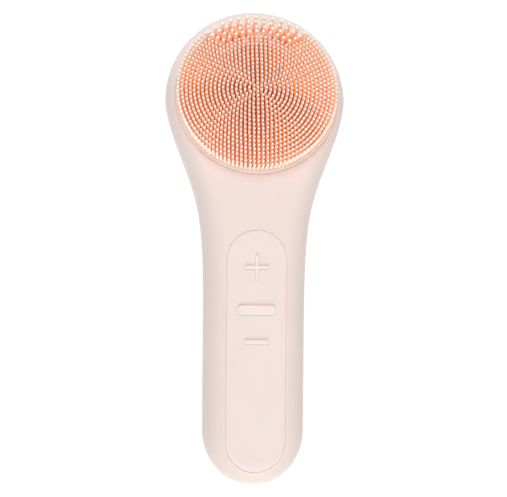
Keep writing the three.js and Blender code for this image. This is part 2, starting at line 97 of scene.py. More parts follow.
neck_half = natural_cubic(WIDTHS)


def smooth(t):
    t = np.clip(t, 0, 1)
    return t * t * (3 - 2 * t)


def mid_z(y):
    return 13 - 8 * np.maximum(0, (np.asarray(y, float) - 84) / (LENGTH - 84)) ** 1.25


def face_z(y):
    y = np.asarray(y, float)
    level = FRONT_Z + (SEAM_Z - FRONT_Z) * smooth((y - 88) / 16)
    tilted = SEAM_Z - (y - SEAM_Y) * SLOPE
    k = 1.1
    h = np.clip(0.5 + 0.5 * (tilted - level) / k, 0, 1)
    return tilted + (level - tilted) * h - k * h * (1 - h)


def round_w(y):
    return 8.5 - 2.5 * smooth((np.asarray(y, float) - 85) / 40)


def round_p(y):
    return 2.15 + 0.45 * smooth((np.asarray(y, float) - 85) / 40)


def slope_at(y):
    y = np.clip(y, 19.1, HEAD_Y - 0.1)
    return (neck_half(y + 0.05) - neck_half(y - 0.05)) / 0.1


def inside(x, y):
    """How far (x, y) is in from the outline."""
    x, y = np.abs(np.asarray(x, float)), np.asarray(y, float)
    end = (1 - np.hypot(x / HANDLE_HALF, (END_SEMI - y) / END_SEMI)) * HANDLE_HALF
    head = HEAD_R - np.hypot(x, y - HEAD_Y)
    side = (neck_half(np.clip(y, 19, HEAD_Y)) - x) / np.hypot(1, slope_at(y))
    return np.where(y < END_SEMI, end, np.where(y > HEAD_Y, head, side))


def surface_z(x, y, front=True):
    d, zm = np.maximum(0, inside(x, y)), mid_z(y)
    D, p = (round_w(y), round_p(y)) if front else (9.0, 2.2)
    s = np.clip(1 - d / D, 0, 1)
    k = np.maximum(0, 1 - s ** p) ** (1 / p)
    return zm + (face_z(y) - zm) * k if front else zm - zm * k


# ------------------------------------------------------------------------------------------
# mesh helpers
# ------------------------------------------------------------------------------------------
def link(obj):
    bpy.context.scene.collection.objects.link(obj)
    return obj


def build(name, verts, faces, smooth_angle=None, attrs=None):
    """A mesh object from millimetre points in the brush's own frame."""
    v = np.array(verts, float)
    v[:, 1] -= LENGTH / 2
    me = bpy.data.meshes.new(name)
    me.from_pydata((v / 1000).tolist(), [], faces)
    me.validate()
    for key, values in (attrs or {}).items():
        a = me.attributes.new(key, "FLOAT", "POINT")
        a.data.foreach_set("value", np.asarray(values, np.float32))
    for p in me.polygons:
        p.use_smooth = True
    if smooth_angle:
        me.set_sharp_from_angle(angle=math.radians(smooth_angle))
    me.update()
    return link(bpy.data.objects.new(name, me))


def in_polygon(poly, pts):
    """Which of the plan points lie inside a closed polygon."""
    poly, pts = np.asarray(poly, float), np.asarray(pts, float)
    out = np.zeros(len(pts), bool)
    for (x0, y0), (x1, y1) in zip(np.roll(poly, 1, 0), poly):
        if y0 != y1:
            crosses = (y0 > pts[:, 1]) != (y1 > pts[:, 1])
            out ^= crosses & (pts[:, 0] < (x0 - x1) * (pts[:, 1] - y1) / (y0 - y1) + x1)
    return out


class Skin:
    """An outer surface whose every point also has an inner twin, closed into one thin solid."""

    def __init__(self):
        self.v, self.w, self.f, self.c = [], [], [], []

    def add(self, pts, inner, crease_shade=0.0):
        """crease_shade says how far inside a joint's groove the points are, from 0 to 1; it weights the warm painted
        shade and painted glow that the materials put in the groove.
        """
        pts, inner = np.asarray(pts, float).reshape(-1, 3), np.asarray(inner, float).reshape(-1, 3)
        start = len(self.v)
        self.v.extend(pts.tolist())
        self.w.extend(inner.tolist())
        self.c.extend(np.broadcast_to(crease_shade, (len(pts),)).tolist())
        return list(range(start, start + len(pts)))

    def strip(self, a, b, flip=False):
        """Quads between two closed rings of the same length."""
        n = len(a)
        for i in range(n):
            j = (i + 1) % n
            q = (a[i], a[j], b[j], b[i])
            self.f.append(tuple(reversed(q)) if flip else q)

    def plan(self, ids, outer, holes=(), loops=(), up=True):
        """Triangulates plan points `ids` between the ring `outer` and the rings `holes`; `loops` are further rings to follow."""
        ids = list(ids)
        local = {g: i for i, g in enumerate(ids)}
        co = [Vector((self.v[g][0], self.v[g][1])) for g in ids]
        edges = [(local[r[i]], local[r[(i + 1) % len(r)]]) for r in [outer, *holes, *loops] for i in range(len(r))]
        out = delaunay_2d_cdt(co, edges, [], 0, 1e-6)
        verts, faces, origin = np.array([v[:] for v in out[0]]), np.array(out[2]), out[3]
        corner = verts[faces]
        centre = corner.mean(1)
        stays = in_polygon([self.v[g][:2] for g in outer], centre)
        for hole in holes:
            stays &= ~in_polygon([self.v[g][:2] for g in hole], centre)
        ab, ac = corner[:, 1] - corner[:, 0], corner[:, 2] - corner[:, 0]
        turned = (ab[:, 0] * ac[:, 1] - ab[:, 1] * ac[:, 0] > 0) != up
        for f, back in zip(faces[stays], turned[stays]):
            g = tuple(ids[origin[i][0]] for i in f)
            self.f.append(g[::-1] if back else g)

    def closed(self, name, **kw):
        n = len(self.v)
        count = {}
        for f in self.f:
            for i in range(len(f)):
                e = (f[i], f[(i + 1) % len(f)])
                count[e] = count.get(e, 0) + 1
        rim = [e for e in count if (e[1], e[0]) not in count]
        faces = list(self.f) + [tuple(n + i for i in reversed(f)) for f in self.f] + [(b, a, a + n, b + n) for a, b in rim]
        v = np.array(self.v + self.w)
        used = np.zeros(2 * n, bool)
        for f in faces:
            used[list(f)] = True
        new = np.cumsum(used) - 1
        c = np.array(self.c + [0.0] * n)
        return build(name, v[used], [tuple(int(new[i]) for i in f) for f in faces], attrs={"crease_shade": c[used]}, **kw)


def rays():
    """Rays from the outline inwards: (kind, value, side) from the handle end, up the right and down the left."""
    right = [("end", a) for a in np.radians(np.linspace(-90, 0, 42)[:-1])]
    right += [("side", y) for y in np.linspace(19, HEAD_Y, 132)[:-1]]
    right += [("head", a) for a in np.radians(np.linspace(0, 90, 64))]
    left = [(k, t, -1) for k, t in right[1:-1]][::-1]
    return [(k, t, 1) for k, t in right] + left


RAYS = rays()


def ring(depth):
    """Plan points of the level line `depth` mm in from the outline (a number, or one per ray)."""
    d = np.broadcast_to(depth, (len(RAYS),))
    out = []
    for (kind, t, side), q in zip(RAYS, d):
        if kind == "end":
            e = 1 - q / HANDLE_HALF
            x, y = HANDLE_HALF * e * math.cos(t), END_SEMI + END_SEMI * e * math.sin(t)
        elif kind == "side":
            x, y = float(neck_half(t)) - q * math.hypot(1, float(slope_at(t))), t
        else:
            x, y = (HEAD_R - q) * math.cos(t), HEAD_Y + (HEAD_R - q) * math.sin(t)
        out.append((side * x, y))
    return np.array(out)


def with_z(xy, z):
    return np.column_stack([xy, np.broadcast_to(z, (len(xy),))])


def stadium(e, step=0.55):
    """Ring round the key panel's outline, e mm outside its half width; the point count doesn't depend on e."""
    half, y0, y1 = PANEL_HALF + e, PANEL_Y0 - e, PANEL_Y1 + e
    a, b = y1 - half, y0 + half
    arc, run = 64, 116
    pts = []
    for t in np.linspace(0, math.pi, arc, endpoint=False):
        pts.append((half * math.cos(t), a + half * math.sin(t)))
    for t in np.linspace(0, 1, run, endpoint=False):
        pts.append((-half, a + (b - a) * t))
    for t in np.linspace(math.pi, 2 * math.pi, arc, endpoint=False):
        pts.append((half * math.cos(t), b + half * math.sin(t)))
    for t in np.linspace(0, 1, run, endpoint=False):
        pts.append((half, b + (a - b) * t))
    return np.array(pts)


def stadium_out(x, y):
    """How far (x, y) is outside the key panel's outline."""
    a, b = PANEL_Y1 - PANEL_HALF, PANEL_Y0 + PANEL_HALF
    return np.hypot(x, np.maximum(0, np.maximum(y - a, b - y))) - PANEL_HALF


def pad_point(r, phi, h):
    """A point of the tilted head frame: radius, angle and height above the pad's edge plane."""
    u, w = r * np.cos(phi), r * np.sin(phi)
    return np.stack([u * np.ones_like(h), PAD_CY + w * math.cos(TILT) + h * math.sin(TILT), PAD_CZ - w * math.sin(TILT) + h * math.cos(TILT)], -1)


def on_surface(r, phi):
    """Height in the pad frame at which radius r, angle phi meets the housing's surface."""
    h = np.zeros_like(phi)
    for _ in range(12):
        p = pad_point(r, phi, h)
        h = h + (surface_z(p[:, 0], p[:, 1]) - p[:, 2]) * math.cos(TILT)
    return h


def pad_out(x, y):
    """How far (x, y) on the tilted face is outside the pad's radius."""
    w = (np.asarray(y) - PAD_CY) / math.cos(TILT)
    return np.hypot(x, w) - PAD_R


def circle(cx, cy, r, n):
    t = np.linspace(0, 2 * math.pi, n, endpoint=False)
    return np.column_stack([cx + r * np.cos(t), cy + r * np.sin(t)])


# ------------------------------------------------------------------------------------------
# front cover
# ------------------------------------------------------------------------------------------
def front_cover():
    s = Skin()
    y_ray = ring(0)[:, 1]
    zm, D, p = mid_z(y_ray), round_w(y_ray), round_p(y_ray)
    H = face_z(y_ray) - zm
    wall = 1.6
    rings = []
    lip = 0.22
    for a in np.radians([0, 22, 45, 68, 90]):
        xy = ring(lip * (1 - math.sin(a)))
        z = zm + 0.12 + lip * (1 - math.cos(a))
        rings.append(s.add(with_z(xy, z), with_z(ring(wall), z)))
    band = 1.7
    t0 = np.arcsin(((0.12 + lip) / H) ** (p / 2))
    t1 = np.arccos((1 - band / D) ** (p / 2))
    K = 17
    for k in range(1, K + 1):
        t = t0 + (t1 - t0) * k / K
        d = D * (1 - np.cos(t) ** (2 / p))
        if k == K:
            d = np.full_like(d, band)
        xy = ring(d)
        z = surface_z(xy[:, 0], xy[:, 1])
        inner = with_z(ring(np.maximum(wall, d + wall * 0.55)), zm + 0.12 + (z - zm - 0.12) * (1 - wall / np.maximum(H, 3)))
        rings.append(s.add(with_z(xy, z), inner))
    for a, b in zip(rings, rings[1:]):
        s.strip(a, b)
    edge = rings[-1]
    plan = list(edge)

    # lips round the key panel and the pad, and their walls
    lip_r, e0 = 0.38, GAP
    down = (0, 0, -1.4)

    def thick(pts):
        return pts + np.array(down)

    def under(pts):
        """Inner points kept clear of the outer surface above them."""
        pts = pts.copy()
        pts[:, 2] = np.minimum(pts[:, 2], surface_z(pts[:, 0], pts[:, 1]) - 1.0)
        return pts

    first, previous = None, None
    # points on the lip and down the wall of the groove carry painted shade through crease_shade
    for e in (0, 0.05, 0.12, 0.21, 0.31, 0.42, 0.62, 0.95, 1.45):
        xy = stadium(e0 + e)
        drop = lip_r - math.sqrt(max(0, lip_r ** 2 - max(0, lip_r - e) ** 2))
        z = surface_z(xy[:, 0], xy[:, 1]) - drop
        pts = with_z(xy, z)
        ids = s.add(pts, thick(pts) if e > 0 else under(with_z(stadium(e0 + 1.4), z - 0.6)), 0.5 * max(0, 1 - e / 0.24))
        if e < 0.5:
            if previous:
                s.strip(ids, previous)
            previous = panel_hole = ids
        if e > 0.4:
            plan += ids
        first = first or ids
    previous = first
    for depth in (0.5, 1.2, 2.4):
        xy = stadium(e0)
        z = np.maximum(surface_z(xy[:, 0], xy[:, 1]) - lip_r - depth, FLOOR_TOP)
        ids = s.add(with_z(xy, z), under(with_z(stadium(e0 + 1.4), z)), 0.5)
        s.strip(previous, ids)
        previous = ids
    xy = stadium(e0)
    floor_ring = s.add(with_z(xy, FLOOR_TOP), with_z(stadium(e0 + 1.4), FLOOR_TOP - 1.2))
    s.strip(previous, floor_ring)
    holes = []
    for hx, hy, hr in [(0, PLUS_Y, 1.9), (0, POWER_Y, 1.9), (0, MINUS_Y, 1.9), (-6.4, 21.5, 1.3), (6.4, 21.5, 1.3), (0, 84.2, 1.3)]:
        pts = with_z(circle(hx, hy, hr, 24), FLOOR_TOP)
        holes.append(s.add(pts, pts + np.array((0, 0, -1.2))))
    s.plan(floor_ring + [i for h in holes for i in h], floor_ring, holes)

    # round seat for the pad
    phi = np.linspace(0, 2 * math.pi, 300, endpoint=False)
    pad_first, previous = None, None
    e0 = GAP
    lip_p = 0.14 + 0.22 * smooth(-0.2 - 1.3 * np.sin(phi))
    # painted shade: the pad seam's warm groove colour and glow are strongest on the lower side of the head and fade
    # away at its sides and top
    lower_seam_shade = smooth(0.5 - 1.1 * np.sin(phi))
    for e in (0, 0.04, 0.10, 0.18, 0.27, 0.36, 0.52, 0.8, 1.2, 1.7, 2.3):
        r = PAD_R + e0 + e
        h = on_surface(r, phi)
        drop = lip_p - np.sqrt(np.maximum(0, lip_p ** 2 - np.maximum(0, lip_p - e) ** 2))
        pts = pad_point(r, phi, h - drop)
        if e < 0.4:
            ids = s.add(pts, thick(pts) if e else under(pad_point(r + 1.3, phi, h - drop - 0.8)), max(1 - e / 0.24, 0.3 - e / 7) * lower_seam_shade)
            if previous:
                s.strip(ids, previous)
            else:
                pad_first, h_first = ids, h - drop
            previous = pad_hole = ids
            if e > 0.3:
                plan += ids
        else:
            ok = (inside(pts[:, 0], pts[:, 1]) > band + 0.3) & (stadium_out(pts[:, 0], pts[:, 1]) > GAP + 1.8)
            plan += s.add(pts[ok], thick(pts[ok]), (max(0, 0.3 - e / 7) * lower_seam_shade)[ok])
    previous = pad_first
    r = PAD_R + e0
    for depth in (0.4, 1.0, 2.0):
        h = np.maximum(h_first - depth, -3.8)
        ids = s.add(pad_point(r, phi, h), under(pad_point(r + 1.3, phi, h)), lower_seam_shade)
        s.strip(previous, ids)
        previous = ids
    h = np.full_like(phi, -3.8)
    seat = s.add(pad_point(r, phi, h), pad_point(r + 1.3, phi, h - 1.2))
    s.strip(previous, seat)
    inner_ids = seat
    for rr in (24, 18, 11, 4):
        ids = s.add(pad_point(rr, phi, h), pad_point(rr, phi, h - 1.2))
        s.strip(inner_ids, ids)
        inner_ids = ids
    s.f.append(tuple(inner_ids))

    # shoulder rows, then the open face
    for d in (2.0, 2.35, 2.75, 3.2, 3.7, 4.3, 5.0, 5.8, 6.7, 7.7, 8.8):
        xy = ring(d)
        ok = (stadium_out(xy[:, 0], xy[:, 1]) > e0 + 1.8) & (pad_out(xy[:, 0], xy[:, 1]) > e0 + 2.7)
        sel = xy[ok]
        pts = with_z(sel, surface_z(sel[:, 0], sel[:, 1]))
        plan += s.add(pts, thick(pts))
    g = 1.05
    gx = np.arange(-32, 32 + g, g)
    grid = np.array([(x + (g / 2 if j % 2 else 0), y) for j, y in enumerate(np.arange(0, LENGTH, g * 0.866)) for x in gx])
    ok = (inside(grid[:, 0], grid[:, 1]) > 9.2) & (stadium_out(grid[:, 0], grid[:, 1]) > e0 + 2.0) & (pad_out(grid[:, 0], grid[:, 1]) > e0 + 2.9)
    sel = grid[ok]
    pts = with_z(sel, surface_z(sel[:, 0], sel[:, 1]))
    plan += s.add(pts, thick(pts))

    s.plan(plan, edge, [panel_hole, pad_hole])
    return s.closed("skin_front_cover", smooth_angle=50)


def rear_cover():
    s = Skin()
    y_ray = ring(0)[:, 1]
    zm = mid_z(y_ray)
    wall, lip, D, p = 1.6, 0.22, 9.0, 2.2
    rings = []
    for a in np.radians([0, 22, 45, 68, 90]):
        z = zm - 0.12 - lip * (1 - math.cos(a))
        rings.append(s.add(with_z(ring(lip * (1 - math.sin(a))), z), with_z(ring(wall), z)))
    t0 = np.arcsin(((0.12 + lip) / zm) ** (p / 2))
    K = 26
    for k in range(1, K + 1):
        t = t0 + (math.pi / 2 - t0) * k / K
        d = D * (1 - np.maximum(0, np.cos(t)) ** (2 / p))
        if k == K:
            d = np.full_like(d, D)
        xy = ring(d)
        z = surface_z(xy[:, 0], xy[:, 1], False) if k < K else np.zeros(len(xy))
        inner = with_z(ring(np.maximum(wall, d + wall * 0.3)), zm - 0.12 - (zm - 0.12 - z) * (1 - wall / zm))
        rings.append(s.add(with_z(xy, z), inner))
    for a, b in zip(rings, rings[1:]):
        s.strip(a, b, flip=True)
    edge = rings[-1]
    plan = list(edge)
    loops, holes = [], []
    up = np.array((0, 0, 1.6))
    for cx in (-4, 4):
        first = None
        for e in (0, 0.06, 0.15, 0.26, 0.4):
            drop = 0.4 - math.sqrt(max(0, 0.16 - (0.4 - e) ** 2))
            pts = with_z(circle(cx, 14.5, 1.9 + e, 40), drop)
            ids = s.add(pts, with_z(circle(cx, 14.5, 1.9 + e, 40), 1.9))
            plan += ids
            if first:
                loops.append(ids)
            first = first or ids
        holes.append(first)
        pts = with_z(circle(cx, 14.5, 1.9, 40), 1.6)
        s.strip(first, s.add(pts, pts + np.array((0, 0, 0.3))), flip=True)
    g = 2.2
    grid = np.array([(x + (g / 2 if j % 2 else 0), y) for j, y in enumerate(np.arange(0, LENGTH, g * 0.866)) for x in np.arange(-32, 32 + g, g)])
    ok = (inside(grid[:, 0], grid[:, 1]) > D + 1) & (np.hypot(np.abs(grid[:, 0]) - 4, grid[:, 1] - 14.5) > 3)
    pts = with_z(grid[ok], 0.0)
    plan += s.add(pts, pts + up)
    s.plan(plan, edge, holes, loops, up=False)
    return s.closed("skin_rear_cover", smooth_angle=50)


# ------------------------------------------------------------------------------------------
# keys and their panel
# ------------------------------------------------------------------------------------------
def arc_pts(cx, cy, r, a0, a1, n):
    return [(cx + r * math.cos(t), cy + r * math.sin(t)) for t in np.radians(np.linspace(a0, a1, n))]


def plus_outline(i, cy):
    a, b = PLUS_W / 2 - i, PLUS_STROKE / 2 - i
    ro, ri = max(0.42 - i, 0.03), 0.12 + max(i, -0.1)
    pts = []
    for q in range(4):
        c, s_ = [(1, 0), (0, 1), (-1, 0), (0, -1)][q]
        local = arc_pts(a - ro, -b + ro, ro, -90, 0, 6) + arc_pts(a - ro, b - ro, ro, 0, 90, 6) + arc_pts(b + ri, b + ri, ri, 270, 180, 6)
        pts += [(x * c - y * s_, x * s_ + y * c + cy) for x, y in local]
    return np.array(pts)


def bar_outline(w, h, rc, i, cy):
    a, b, r = w / 2 - i, h / 2 - i, max(rc - i, 0.03)
    pts = arc_pts(a - r, -b + r, r, -90, 0, 10) + arc_pts(a - r, b - r, r, 0, 90, 10) + arc_pts(-a + r, b - r, r, 90, 180, 10) + arc_pts(-a + r, -b + r, r, 180, 270, 10)
    return np.array([(x, y + cy) for x, y in pts])


def dense(outline, step=0.5):
    """The same outline with extra points on its long straight runs."""
    out = []
    n = len(outline)
    for i in range(n):
        a, b = outline[i], outline[(i + 1) % n]
        m = DENSE_COUNTS[i] if i < len(DENSE_COUNTS) else 1
        for k in range(m):
            out.append(a + (b - a) * k / m)
    return np.array(out)


DENSE_COUNTS = []
KEYS = {
    "plus": (lambda i: plus_outline(i, PLUS_Y), PLUS_Y, 10.4, 10.4),
    "power": (lambda i: bar_outline(POWER_W, POWER_H, 1.6, i, POWER_Y), POWER_Y, 15.4, 5.4),
    "minus": (lambda i: bar_outline(MINUS_W, MINUS_H, 0.32, i, MINUS_Y), MINUS_Y, 10.2, 3.8),
}


def refined(outline_fn, i):
    """Outline i mm in, with its straight runs split the same way for every i."""
    global DENSE_COUNTS
    base = outline_fn(0.0)
    n = len(base)
    DENSE_COUNTS = [max(1, int(math.hypot(*(base[(k + 1) % n] - base[k])) / 0.5)) for k in range(n)]
    return dense(outline_fn(i))


def lamp_shadow_side(outline):
    """1 where an outline faces up the brush and a little left, 0 where it faces the other way: the side away from the
    low lamp, which gets the keys' painted shadow.
    """
    t = np.roll(outline, -1, 0) - np.roll(outline, 1, 0)
    n = np.column_stack([t[:, 1], -t[:, 0]]) / np.hypot(t[:, 0], t[:, 1])[:, None]
    return smooth(0.25 + n @ np.array([-0.34, 0.94]))


def key_cap(name):
    fn, cy, fw, fh = KEYS[name]
    verts, faces = [], []

    def add(pts):
        start = len(verts)
        verts.extend(np.asarray(pts, float).tolist())
        return list(range(start, start + len(pts)))

    def strip(a, b):
        n = len(a)
        for i in range(n):
            j = (i + 1) % n
            faces.append((a[i], a[j], b[j], b[i]))

    def cap(ids, up):
        co = [Vector(verts[i][:2]) for i in ids]
        n = len(ids)
        out = delaunay_2d_cdt(co, [(i, (i + 1) % n) for i in range(n)], [], 0, 1e-6)
        stays = in_polygon([c[:] for c in co], [np.mean([out[0][i][:] for i in f], axis=0) for f in out[2]])
        for f, good in zip(out[2], stays):
            if good:
                g = [ids[out[3][i][0]] for i in f]
                area = sum(verts[g[i]][0] * verts[g[(i + 1) % len(g)]][1] - verts[g[i]][1] * verts[g[(i + 1) % len(g)]][0] for i in range(len(g)))
                if (area > 0) != up:
                    g.reverse()
                faces.append(tuple(g))

    # raised symbol: slight draft, rounded top edge
    rows = [(0.10, 24.6), (0.10, FRONT_Z - 0.1), (0.10, FRONT_Z + 0.04), (0.12, FRONT_Z + 0.2)]
    r, top = 0.22, KEY_TOP
    for a in np.radians([10, 28, 46, 64, 80, 90]):
        rows.append((0.13 + r * (1 - math.cos(a)), top - r + r * math.sin(a)))
    # tint is painted shadow: a warm shade on the lowest wall rows of each symbol, on its side away from the low lamp
    previous, tint = None, []
    shade = lamp_shadow_side(refined(fn, 0.0))
    for inset, z in rows:
        ids = add(with_z(refined(fn, inset), z))
        tint.extend((np.clip((FRONT_Z + 0.42 - z) / 0.25, 0, 1) * shade).tolist())
        if previous:
            strip(previous, ids)
        else:
            cap(ids, False)
        previous = ids
    cap(previous, True)
    # flange under the panel
    prev = None
    for inset, z in [(0.25, 24.0), (0.0, 24.15), (0.0, 24.65), (0.15, 24.8)]:
        ids = add(with_z(bar_outline(fw, fh, 1.0, inset, cy), z))
        if prev:
            strip(prev, ids)
        else:
            cap(ids, False)
        prev = ids
    cap(prev, True)
    # stem down to the switch
    prev = None
    for rr, z in [(1.2, 21.2), (1.45, 21.35), (1.5, 21.6), (1.5, 23.6), (1.8, 24.1)]:
        ids = add(with_z(circle(0, cy, rr, 32), z))
        if prev:
            strip(prev, ids)
        else:
            cap(ids, False)
        prev = ids
    cap(prev, True)
    tint += [0.0] * (len(verts) - len(tint))
    return build(f"soft_{name}_key", verts, faces, smooth_angle=48, attrs={"crease_shade": tint})


def key_panel():
    s = Skin()
    plan, loops, holes = [], [], []
    r, level, wide = 0.24, 0.0, 0.13
    side = None
    # the panel's lip and its side in the joint carry painted shade through crease_shade
    for i in (0, 0.03, 0.07, 0.13, 0.18, 0.24, 0.5, 0.9):
        xy = stadium(wide - i)
        drop = r - math.sqrt(max(0, r * r - max(0, r - i) ** 2))
        z = surface_z(xy[:, 0], xy[:, 1]) - level - drop
        inner = with_z(stadium(-1.9 if i < 1.6 else -i), z - 2.2)
        inner = with_z(stadium(-1.9 - i * 0.5), z - 2.2 + drop)
        ids = s.add(with_z(xy, z), inner, 0.5 * max(0, 1 - i / 0.15))
        plan += ids
        loops.append(ids)
        side = side or ids
    # the side steps out under the surface, so the joint with the cover reads as a shallow groove
    previous = side
    for out, depth in ((wide, 0.27), (wide + 0.02, 0.32), (wide + 0.15, 0.34)):
        xy = stadium(out)
        ids = s.add(with_z(xy, surface_z(xy[:, 0], xy[:, 1]) - depth), with_z(stadium(-1.9), surface_z(xy[:, 0], xy[:, 1]) - 2.3), 0.5)
        s.strip(previous, ids, flip=True)
        previous = ids
    low = s.add(with_z(xy, 25.2), with_z(stadium(-1.9), 24.9))
    s.strip(previous, low, flip=True)
    last = s.add(with_z(xy, 23.6), with_z(stadium(-1.9), 23.6))
    s.strip(low, last, flip=True)
    for name, (fn, cy, fw, fh) in KEYS.items():
        # shade deepens the panel round each key on the side away from the low lamp, which is real geometry, and there
        # also paints warm shade into the joint through crease_shade
        shade = lamp_shadow_side(refined(fn, 0.0))
        for k, (i, dz) in enumerate([(0.09, -0.13), (0.03, -0.10), (-0.05, -0.05), (-0.14, -0.015), (-0.26, 0.0), (-0.5, 0.0)]):
            q = refined(fn, i)
            pts = with_z(q, surface_z(q[:, 0], q[:, 1]) - level + dz * shade)
            ids = s.add(pts, with_z(q, 25.0), shade * (1.0, 0.85, 0.5, 0.2, 0.0, 0.0)[k])
            plan += ids
            (loops if k else holes).append(ids)
    g = 1.5
    grid = np.array([(x + (g / 2 if j % 2 else 0), y) for j, y in enumerate(np.arange(0, LENGTH, g * 0.866)) for x in np.arange(-12, 12 + g, g)])
    near = np.ones(len(grid), bool)
    for name, (fn, cy, fw, fh) in KEYS.items():
        w, h = (PLUS_W, PLUS_W) if name == "plus" else (POWER_W, POWER_H) if name == "power" else (MINUS_W, MINUS_H)
        if name == "plus":
            near &= ~(((np.abs(grid[:, 0]) < w / 2 + 1) & (np.abs(grid[:, 1] - cy) < PLUS_STROKE / 2 + 1)) | ((np.abs(grid[:, 0]) < PLUS_STROKE / 2 + 1) & (np.abs(grid[:, 1] - cy) < w / 2 + 1)))
        else:
            near &= ~((np.abs(grid[:, 0]) < w / 2 + 1) & (np.abs(grid[:, 1] - cy) < h / 2 + 1))
    ok = near & (stadium_out(grid[:, 0], grid[:, 1]) < -1.6)
    sel = grid[ok]
    pts = with_z(sel, surface_z(sel[:, 0], sel[:, 1]) - level)
    plan += s.add(pts, with_z(sel, np.minimum(pts[:, 2] - 2.2, 25.0)))
    s.plan(plan, loops[0], holes, loops[1:])
    return s.closed("soft_key_panel", smooth_angle=50)


# ------------------------------------------------------------------------------------------
# brush pad and bristles
# ------------------------------------------------------------------------------------------
def dome(r):
    return PAD_EDGE + DOME_SAG - (DOME_R - np.sqrt(DOME_R ** 2 - np.asarray(r, float) ** 2))


def pad_base():
    """The moulded disc: its rim comes down to meet the housing all the way round."""
    phi = np.linspace(0, 2 * math.pi, 300, endpoint=False)
    hs = np.clip(on_surface(PAD_R + GAP, phi), -1.45, 0.02)
    # painted shade: the seam's warm groove colour and glow are strongest on the lower side of the head; the rim rows
    # also carry some of it
    lower_seam_shade = smooth(0.5 - 1.1 * np.sin(phi))
    rows = [(27.4, -2.0 + 0 * hs, 1), (27.9, -1.98 + 0 * hs, 1), (28.12, np.minimum(-1.9, hs - 0.4), 1), (28.12, hs - 0.30, 1), (28.05, hs - 0.26, 1), (28.0, hs - 0.2, 0.9)]
    top = 0.70
    for q, a_ in enumerate(np.radians([4, 14, 26, 38, 50, 62, 74, 84])):
        rows.append((26.95 + 1.04 * math.cos(a_), hs - 0.14 + (top - hs + 0.14) * math.sin(a_), max(0.3, 0.75 - 0.3 * q)))
    rows += [(26.7, 0.80 + 0 * hs, 0.3)]
    rows += [(r, float(dome(r)) + 0 * hs, 0) for r in (26.4, 26.1, 25.7, 25, 24, 23, 22, 21, 20, 19, 18, 17, 15, 12, 9, 6, 3, 1)]
    verts, faces, ids, crease_shade = [], [], [], []
    for r, h, c in rows:
        start = len(verts)
        verts.extend(pad_point(r, phi, h).tolist())
        crease_shade.extend((c * lower_seam_shade).tolist())
        ids.append(list(range(start, start + len(phi))))
    for p, q in zip(ids, ids[1:]):
        for i in range(len(p)):
            j = (i + 1) % len(p)
            faces.append((p[i], p[j], q[j], q[i]))
    faces.append(tuple(ids[-1]))
    faces.append(tuple(reversed(ids[0])))
    v = np.array(verts)
    w = (v[:, 1] - PAD_CY) / math.cos(TILT)
    r, off = np.hypot(v[:, 0], w), np.abs(np.degrees(np.arctan2(v[:, 0], w)))
    # deep marks the floor between the fine bristles for painted shade, less of it in the sector of thick bristles; core
    # darkens it further towards the middle
    deep = smooth((26.6 - r) / 0.8)
    sector = smooth((r - 18.2) / 1.6) * smooth((40 - off) / 3)
    return build("soft_pad_base", verts, faces, smooth_angle=60, attrs={"deep": deep * (1 - 0.85 * sector), "crease_shade": crease_shade, "core": heart(r)})


FIELD_SAG, RING19, LAY_3, LAY_5, LAY_TURN, LAY_X, LAY_Y = 2.55, 26.25, -0.064, 0.021, 0.38, -0.2, -0.24
LEAN = 0.065
BIG_ROWS = [(14.62, 6.55, 5), (15.95, 7.1, 5), (17.35, 6.15, 6), (18.75, 6.4, 6)]  # ring number, step in degrees, count each side


def ring_radius(n):
    s = n / 19
    return RING19 * (s * (1 - LAY_3 - LAY_5) + LAY_3 * s ** 3 + LAY_5 * s ** 5)


def bristle_places():
    fine, big = [], []
    for n in range(0, 20):
        for k in range(max(1, 6 * n)):
            t = math.pi / 2 + (2 * math.pi * k / (6 * n) if n else 0)
            off = abs((math.degrees(t) - 90 + 180) % 360 - 180)
            limit = {14: 36.5, 15: 37, 16: 38.5, 17: 40, 18: 41, 19: 41}.get(n)
            if limit and off < limit:
                continue
            # painted light: edge and low weight how much paler the outer rings are painted, as if lit, more on the
            # lower side of the head that faces the low lamp
            low = float(smooth(0.3 - 1.2 * math.sin(t)))
            edge = {19: 1.0, 18: 0.75, 17: 0.52, 16: 0.42, 15: 0.34, 14: 0.3, 13: 0.26, 12: 0.22, 11: 0.16, 10: 0.1, 9: 0.05}.get(n, 0.0)
            fine.append((ring_radius(n), t + math.radians(LAY_TURN), edge * (0.25 + 0.75 * low if n > 18 else low)))
    for n, step, half in BIG_ROWS:
        for k in range(-half, half + 1):
            # the thick bristles' outermost row gets more of the same painted light
            big.append((ring_radius(n), math.pi / 2 + math.radians(step * k + 0.4), 0.5 if n > 18 else 0.1))
    return fine, big


def heart(r):
    """1 at the middle of the field, where the least light gets down between the bristles, falling to 0 near its edge."""
    return smooth(1 - np.asarray(r, float) / 25)


